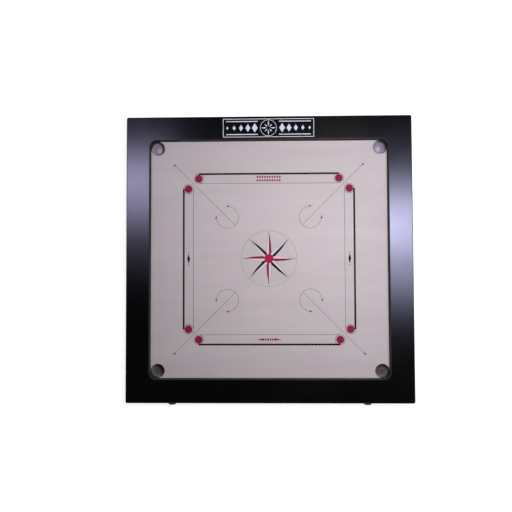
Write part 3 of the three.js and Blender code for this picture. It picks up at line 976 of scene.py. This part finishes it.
def emblem_wing(side):
    """Lozenges that shrink outwards, between two bars."""
    polygons = []
    for i in range(EMBLEM_LOZENGES):
        size = 1 - EMBLEM_LOZENGE_SHRINK * i
        x = side * (EMBLEM_LOZENGE_START + EMBLEM_LOZENGE_PITCH * i)
        polygons += lozenge((x, 0), *(half * size for half in EMBLEM_LOZENGE_HALF))
    start, end = EMBLEM_BAR_ENDS
    for y in (-EMBLEM_BAR_OFFSET, EMBLEM_BAR_OFFSET):
        polygons += bar((side * start, y), (side * end, y), EMBLEM_BAR_LINE)
    return polygons


def make_rail_ornament():
    """A generic pale band on the back rail: a framed star between rows of lozenges."""
    half_x, half_y = EMBLEM_HALF_SIZE
    corners = [(-half_x, -half_y), (half_x, -half_y), (half_x, half_y), (-half_x, half_y)]
    polygons = outline(corners, EMBLEM_FRAME_LINE) + emblem_star()
    for side in (-1, 1):
        polygons += emblem_wing(side)
    band = moved_plan(polygons, 0, (HALF_PLAY + HALF_OUTER) / 2)
    film("rail_ornament", band, WHITE, INK_LOW, RAIL_TOP_Z)


# ------------------------ nets


def net_profile(share):
    """Radius and height of the bag, from its neck (0) to its gathered bottom (1)."""
    spot = share * (len(NET_PROFILE) - 1)
    index = min(int(spot), len(NET_PROFILE) - 2)
    part = spot - index
    eased = part * part * (3 - 2 * part)
    part = eased * NET_PROFILE_EASE + part * (1 - NET_PROFILE_EASE)
    (r0, z0), (r1, z1) = NET_PROFILE[index], NET_PROFILE[index + 1]
    return (r0 + (r1 - r0) * part) * MM, (z0 + (z1 - z0) * part) * MM


def net_point(centre, start_angle, direction, share):
    radius, height = net_profile(share)
    angle = start_angle + direction * NET_TWIST * share
    return Vector((centre[0] + radius * math.cos(angle), centre[1] + radius * math.sin(angle), height))


def tube(mesh_builder, uv_layer, path, radius, sides=6):
    """A cord along a path, with UVs that run round it and along it."""
    rings = []
    lengths = [0.0]
    for first, second in zip(path, path[1:]):
        lengths.append(lengths[-1] + (second - first).length)
    for i, point in enumerate(path):
        ahead = path[min(i + 1, len(path) - 1)]
        behind = path[max(i - 1, 0)]
        direction = (ahead - behind).normalized()
        side = direction.cross(Vector((0, 0, 1)))
        if side.length < 1e-4:
            side = direction.cross(Vector((1, 0, 0)))
        side.normalize()
        up = side.cross(direction)
        corners = []
        for corner in range(sides):
            angle = 2 * math.pi * corner / sides
            spot = point + radius * (math.cos(angle) * side + math.sin(angle) * up)
            corners.append(mesh_builder.verts.new(spot))
        rings.append(corners)
    turn_length = 2 * math.pi * radius
    for i in range(len(path) - 1):
        first, second = rings[i], rings[i + 1]
        start, end = lengths[i] / turn_length, lengths[i + 1] / turn_length
        for j in range(sides):
            k = (j + 1) % sides
            face = mesh_builder.faces.new((first[j], first[k], second[k], second[j]))
            face.smooth = True
            around = (j / sides, (j + 1) / sides)
            values = ((around[0], start), (around[1], start), (around[1], end), (around[0], end))
            for loop, value in zip(face.loops, values):
                loop[uv_layer].uv = value
    mesh_builder.faces.new(rings[0])
    mesh_builder.faces.new(rings[-1])


def whipping_path(centre, height):
    """The cord wound flat round the gathered strands, from its outer turn to the middle."""
    path = []
    for step in range(WHIPPING_STEPS + 1):
        share = step / WHIPPING_STEPS
        radius = WHIPPING_EYE + (1 - share) * WHIPPING_TURNS * 2 * WHIPPING_RADIUS
        angle = 2 * math.pi * WHIPPING_TURNS * share
        path.append(Vector((
            centre[0] + radius * math.cos(angle),
            centre[1] + radius * math.sin(angle),
            height + WHIPPING_RISE * share,
        )))
    return path


def net_cords(centre):
    mesh_builder = bmesh.new()
    uv_layer = mesh_builder.loops.layers.uv.new("cord")
    spacing = 2 * math.pi / NET_STRANDS
    for direction in (-1, 1):
        for strand in range(NET_STRANDS):
            path = []
            for step in range(NET_STEPS + 1):
                path.append(net_point(centre, strand * spacing, direction, step / NET_STEPS))
            tube(mesh_builder, uv_layer, path, NET_CORD_RADIUS)
    rows = int(2 * NET_TWIST / spacing)
    for row in range(1, rows + 1):
        share = row * spacing / (2 * NET_TWIST)
        for strand in range(NET_STRANDS):
            spot = net_point(centre, strand * spacing, 1, share)
            knot = Matrix.Translation(spot) @ Matrix.Diagonal((1.0, 1.0, KNOT_FLATNESS, 1))
            made = bmesh.ops.create_icosphere(mesh_builder, subdivisions=1, radius=KNOT_RADIUS, matrix=knot)
            for face in {face for vert in made["verts"] for face in vert.link_faces}:
                face.smooth = True
    bottom_height = net_profile(1.0)[1]
    tube(mesh_builder, uv_layer, whipping_path(centre, bottom_height), WHIPPING_RADIUS, sides=8)
    return mesh_builder


def net_binding(centre):
    """The folded tape that carries the cords and takes the tacks."""
    low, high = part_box("pocket_net_front_right")
    outer = (high.x - low.x) / 2 - FIT_GAP
    inner = BINDING_INNER_RADIUS
    top = PANEL_LOW_Z - BINDING_GAP
    base = top - BINDING_HEIGHT
    edge = BINDING_EDGE
    profile = [
        (inner, base + edge), (inner + edge, base), (outer - edge, base), (outer, base + edge),
        (outer, top - edge), (outer - edge, top), (inner + edge, top), (inner, top - edge),
    ]
    return turned(profile, BINDING_STEPS, Matrix.Translation((*centre, 0)))


def make_nets():
    """The front nets take the shaded copy of the cotton and the back nets the lit copy: painted shade and
    painted light on one cord.
    """
    for corner, (side_x, side_y) in CORNERS.items():
        centre = (side_x * POCKET_CENTRE, side_y * POCKET_CENTRE)
        # Painted shade on the front nets, painted light on the back ones.
        cotton = PAINTED_LIT_COTTON if side_y > 0 else PAINTED_SHADE_COTTON
        net = piece(f"net_cords_{corner}", net_cords(centre), cotton, "net_cotton")
        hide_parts(f"pocket_net_{corner}")
        binding = piece(f"net_binding_{corner}", net_binding(centre), TAPE, "net_cotton")
        smooth(binding)


# ------------------------ feet


def make_feet():
    """Rubber discs with a rounded rim and a screw well, free face towards -Y."""
    for side in ("left", "right"):
        low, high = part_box(f"edge_foot_{side}")
        radius = (high.x - low.x) / 2
        depth = high.y - low.y
        profile = [
            (FOOT_HOLE_RADIUS, FOOT_WELL_DEPTH), (FOOT_WELL_RADIUS, FOOT_WELL_DEPTH),
            (FOOT_WELL_RADIUS, FOOT_WELL_EDGE), (FOOT_WELL_RADIUS + FOOT_WELL_EDGE, 0.0),
        ]
        for step in range(FOOT_RIM_STEPS + 1):
            angle = math.pi / 2 * step / FOOT_RIM_STEPS
            rim_radius = radius - FOOT_RIM + FOOT_RIM * math.sin(angle)
            profile.append((rim_radius, FOOT_RIM * (1 - math.cos(angle))))
        profile += [(radius, depth), (FOOT_HOLE_RADIUS, depth)]
        middle = ((low.x + high.x) / 2, low.y, (low.z + high.z) / 2)
        place = Matrix.Translation(middle) @ Matrix.Rotation(-math.pi / 2, 4, "X")
        foot = piece(f"rubber_foot_{side}", turned(profile, FOOT_STEPS, place), RUBBER, "foot_rubber")
        smooth(foot)
        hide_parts(f"edge_foot_{side}")


# ------------------------ CAD nodes


def finish_cad_nodes():
    """Materials for the pieces that keep their CAD shape."""
    looks = {
        "mitre_spline": BEECH,
        "cross_batten": PINE["X"],
        "long_batten": PINE["Y"],
        "batten_screw": STEEL,
        "panel_screw": STEEL,
        "lap_screw": STEEL,
        "foot_screw": STEEL,
        "net_tack": BRASS,
    }
    for name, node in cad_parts.items():
        for prefix, material in looks.items():
            if name.startswith(prefix):
                node.data.materials.clear()
                node.data.materials.append(material)


# ------------------------ stage


def make_floor():
    mesh_builder = bmesh.new()
    bmesh.ops.create_grid(mesh_builder, x_segments=1, y_segments=1, size=FLOOR_HALF_SIDE)
    floor = put_in_scene("floor", finished_mesh("floor", mesh_builder))
    floor.data.materials.append(studio_floor())


def panel_light(name, place, target, size, radiance, color=(1, 1, 1)):
    """A square studio light of the given radiance, aimed at a point."""
    light = bpy.data.lights.new(name, "AREA")
    light.shape = "RECTANGLE"
    light.size, light.size_y = size
    light.energy = radiance * math.pi * size[0] * size[1]
    light.color = color
    lamp = put_in_scene(name, light)
    lamp.location = place
    lamp.rotation_euler = (Vector(target) - Vector(place)).to_track_quat("-Z", "Y").to_euler()
    return lamp


def light_nodes(lamp):
    """Opens a lamp's nodes: the tree, and the place across the lamp (0 to 1 along X and Y)."""
    lamp.data.use_nodes = True
    tree = lamp.data.node_tree
    geometry = tree.nodes.new("ShaderNodeNewGeometry")
    return tree, split_vector(tree, geometry.outputs["Parametric"])


def smooth_fade(tree, value, low, high, to_low=0.0, to_high=1.0):
    fade = tree.nodes.new("ShaderNodeMapRange")
    fade.interpolation_type = "SMOOTHSTEP"
    set_range(fade, (low, high, to_low, to_high))
    tree.links.new(value, fade.inputs["Value"])
    return fade.outputs["Result"]


def set_strength(tree, first, second):
    """Makes a lamp's strength the product of two outputs."""
    emission = next(node for node in tree.nodes if node.type == "EMISSION")
    product = tree.nodes.new("ShaderNodeMath")
    product.operation = "MULTIPLY"
    tree.links.new(first, product.inputs[0])
    tree.links.new(second, product.inputs[1])
    tree.links.new(product.outputs["Value"], emission.inputs["Strength"])


def window_light(name, side, inner_edge, radiance, color, profile):
    """A level window-like light beside the board whose brightness follows a profile along Y.

    The lacquered rails mirror it, so its profile sets how their shine rises and falls."""
    low_y, high_y = profile[0][0], profile[-1][0]
    width = WINDOW_OUTER_EDGE - inner_edge
    size = (width, high_y - low_y)
    x = side * (inner_edge + width / 2)
    place = (x, (low_y + high_y) / 2, RAIL_TOP_Z + CAMERA_HEIGHT)
    lamp = panel_light(name, place, (place[0], place[1], 0), size, radiance, color)
    lamp.rotation_euler = (0, 0, 0)
    tree, across = light_nodes(lamp)
    along_y = tree.nodes.new("ShaderNodeValToRGB")
    along_y.color_ramp.interpolation = "CARDINAL"
    stops = [((y - low_y) / (high_y - low_y), grey(value)) for y, value in profile]
    fill_ramp(along_y.color_ramp, stops)
    tree.links.new(across["Y"], along_y.inputs["Fac"])
    fade_share = (WINDOW_FULL_FROM - inner_edge) / width
    inner, full = (0.0, fade_share) if side > 0 else (1.0, 1.0 - fade_share)
    set_strength(tree, along_y.outputs["Color"], smooth_fade(tree, across["X"], inner, full))


def soften_edges(lamp):
    """Lets a square light fade out evenly towards its edges."""
    tree, across = light_nodes(lamp)
    fades = []
    for axis in "XY":
        distance = tree.nodes.new("ShaderNodeMath")
        distance.operation = "PINGPONG"
        distance.inputs[1].default_value = 0.5
        tree.links.new(across[axis], distance.inputs[0])
        fades.append(smooth_fade(tree, distance.outputs["Value"], 0.0, CEILING_LAMP_SOFT_SHARE))
    set_strength(tree, *fades)


def make_world():
    """Dark overhead, so that black lacquer stays black, and pale at the horizon."""
    world = bpy.data.worlds.new("studio")
    bpy.context.scene.world = world
    world.use_nodes = True
    tree = world.node_tree
    background = tree.nodes["Background"]
    coordinates = tree.nodes.new("ShaderNodeTexCoord")
    height = split_vector(tree, coordinates.outputs["Generated"])["Z"]
    strength = smooth_fade(tree, height, *SKY_FADE, HORIZON, ZENITH)
    tree.links.new(strength, background.inputs["Strength"])
    background.inputs["Color"].default_value = SKY_COLOR


def make_lights():
    make_world()
    window_light(
        "window_left", -1, LEFT_WINDOW_INNER_EDGE, LEFT_WINDOW, LEFT_WINDOW_COLOR, LEFT_PROFILE,
    )
    window_light(
        "window_right", 1, RIGHT_WINDOW_INNER_EDGE, RIGHT_WINDOW, RIGHT_WINDOW_COLOR, RIGHT_PROFILE,
    )
    x, y, z = CEILING_LAMP_PLACE
    soften_edges(panel_light("ceiling_lamp", (x, y, z), (x, y, 0), [CEILING_LAMP_SIZE] * 2, CEILING_LAMP))


def make_camera():
    camera = bpy.data.cameras.new("camera")
    camera.lens = CAMERA_LENS
    camera.sensor_width = SENSOR_WIDTH
    camera.clip_start = 0.01
    viewer = put_in_scene("camera", camera)
    viewer.location = (*CAMERA_OFFSET, RAIL_TOP_Z + CAMERA_HEIGHT)
    viewer.rotation_euler = Euler([math.radians(angle) for angle in CAMERA_TILT_DEGREES])
    bpy.context.scene.camera = viewer


make_camera()
make_lights()
make_floor()
make_rails()
make_panel()
make_base_lines()
make_arrows()
make_star()
make_base_ornaments()
make_rail_ornament()
make_nets()
make_feet()
finish_cad_nodes()
bpy.context.scene.view_settings.view_transform = "Standard"
